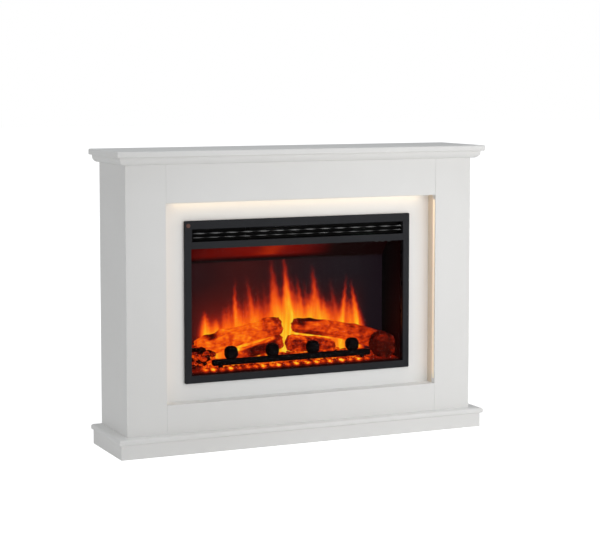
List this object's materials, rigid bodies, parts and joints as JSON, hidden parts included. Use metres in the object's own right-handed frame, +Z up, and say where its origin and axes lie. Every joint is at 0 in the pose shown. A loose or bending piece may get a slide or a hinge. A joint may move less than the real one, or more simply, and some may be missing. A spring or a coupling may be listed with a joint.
{
  "type": "electric fireplace",
  "caption": "White board fireplace surround with a lit recess, a dark-framed inset electric fire with logs, and a warm-air outlet above the flames.",
  "frame": {"origin": "on the floor, under the middle of the whole object's width and depth", "axes": "+X to the right along the front, +Y from the front towards the wall, +Z up"},
  "size_m": [1.148, 0.258, 0.848],
  "materials": {
    "white_paint": "satin white paint on fibreboard",
    "raw_board": "bare fibreboard",
    "zinc_steel": "zinc-coated sheet steel",
    "charcoal_paint": "satin charcoal powder coat",
    "black_paint": "matt black paint",
    "black_plastic": "moulded black plastic",
    "white_plastic": "moulded white plastic",
    "lamp_board": "white circuit board with lamps",
    "window_glass": "clear float glass",
    "screen_acrylic": "smoked acrylic sheet",
    "bright_foil": "bright",
    "ember_resin": "cast resin coals, matt",
    "log_resin": "cast resin bark, matt",
    "cast_black": "matt black",
    "mica_board": "mica and bare resistance wire",
    "brown_lens": "dark infrared window",
    "circuit_board": "green circuit board",
    "lit_cover": "frosted strip-light cover"
  },
  "bodies": {
    "surround": {"mantel_shelf": "white_paint", "cornice_front": "white_paint", "cornice_returns": "white_paint", "header_board": "white_paint", "bottom_rail": "white_paint", "left_pilaster": "white_paint", "right_pilaster": "white_paint", "left_side_panel": "white_paint", "right_side_panel": "white_paint", "reveal_top": "white_paint", "reveal_bottom": "white_paint", "reveal_sides": "white_paint", "fire_back_panel": "white_paint", "base_board": "white_paint", "plinth_front": "white_paint", "plinth_returns": "white_paint", "plinth_rear": "raw_board", "rear_top_rail": "raw_board", "corner_blocks": "raw_board", "wall_brackets": "zinc_steel", "led_strips": "lamp_board", "led_covers": "lit_cover", "led_driver": "white_plastic", "led_lead": "black_plastic", "front_bezel": "charcoal_paint", "outlet_louvre": "charcoal_paint", "firebox_wrap": "zinc_steel", "top_cover": "zinc_steel", "rear_cover": "zinc_steel", "heater_shelf": "zinc_steel", "mains_inlet": "black_plastic", "fire_fixing_brackets": "zinc_steel", "glass_pane": "window_glass", "side_liners": "black_paint", "flame_screen": "screen_acrylic", "screen_baffle": "black_paint", "flicker_motor": "zinc_steel", "spindle_bush": "black_plastic", "flame_lamp_board": "lamp_board", "ember_lamp_board": "lamp_board", "ember_bed": "ember_resin", "log_back_left": "log_resin", "log_front_left": "log_resin", "log_back_right": "log_resin", "log_front_right": "log_resin", "log_stump_right": "log_resin", "fire_grate": "cast_black", "blower_duct": "zinc_steel", "blower_motor": "zinc_steel", "heating_element": "mica_board", "control_strip": "black_plastic", "remote_lens": "brown_lens", "control_board": "circuit_board", "pan_head_screws": "zinc_steel"},
    "flicker_rotor": {"flicker_spindle": "bright_foil"},
    "blower_rotor": {"blower_impeller": "bright_foil"},
    "power_key": {"button_power": "black_plastic"},
    "flame_key": {"button_flame": "black_plastic"},
    "heat_key": {"button_heat": "black_plastic"}
  },
  "joints": [
    {"name": "flicker_spin", "type": "hinge", "parent": "surround", "child": "flicker_rotor", "pos_m": [0, 0.098, 0.25], "axis": [1, 0, 0], "continuous": true},
    {"name": "blower_spin", "type": "hinge", "parent": "surround", "child": "blower_rotor", "pos_m": [0, 0.062, 0.602], "axis": [1, 0, 0], "continuous": true},
    {"name": "power_press", "type": "slide", "parent": "surround", "child": "power_key", "axis": [0, 0, 1], "range_m": [0, 0.0015], "stiffness_N_per_m": 300},
    {"name": "flame_press", "type": "slide", "parent": "surround", "child": "flame_key", "axis": [0, 0, 1], "range_m": [0, 0.0015], "stiffness_N_per_m": 300},
    {"name": "heat_press", "type": "slide", "parent": "surround", "child": "heat_key", "axis": [0, 0, 1], "range_m": [0, 0.0015], "stiffness_N_per_m": 300}
  ]
}
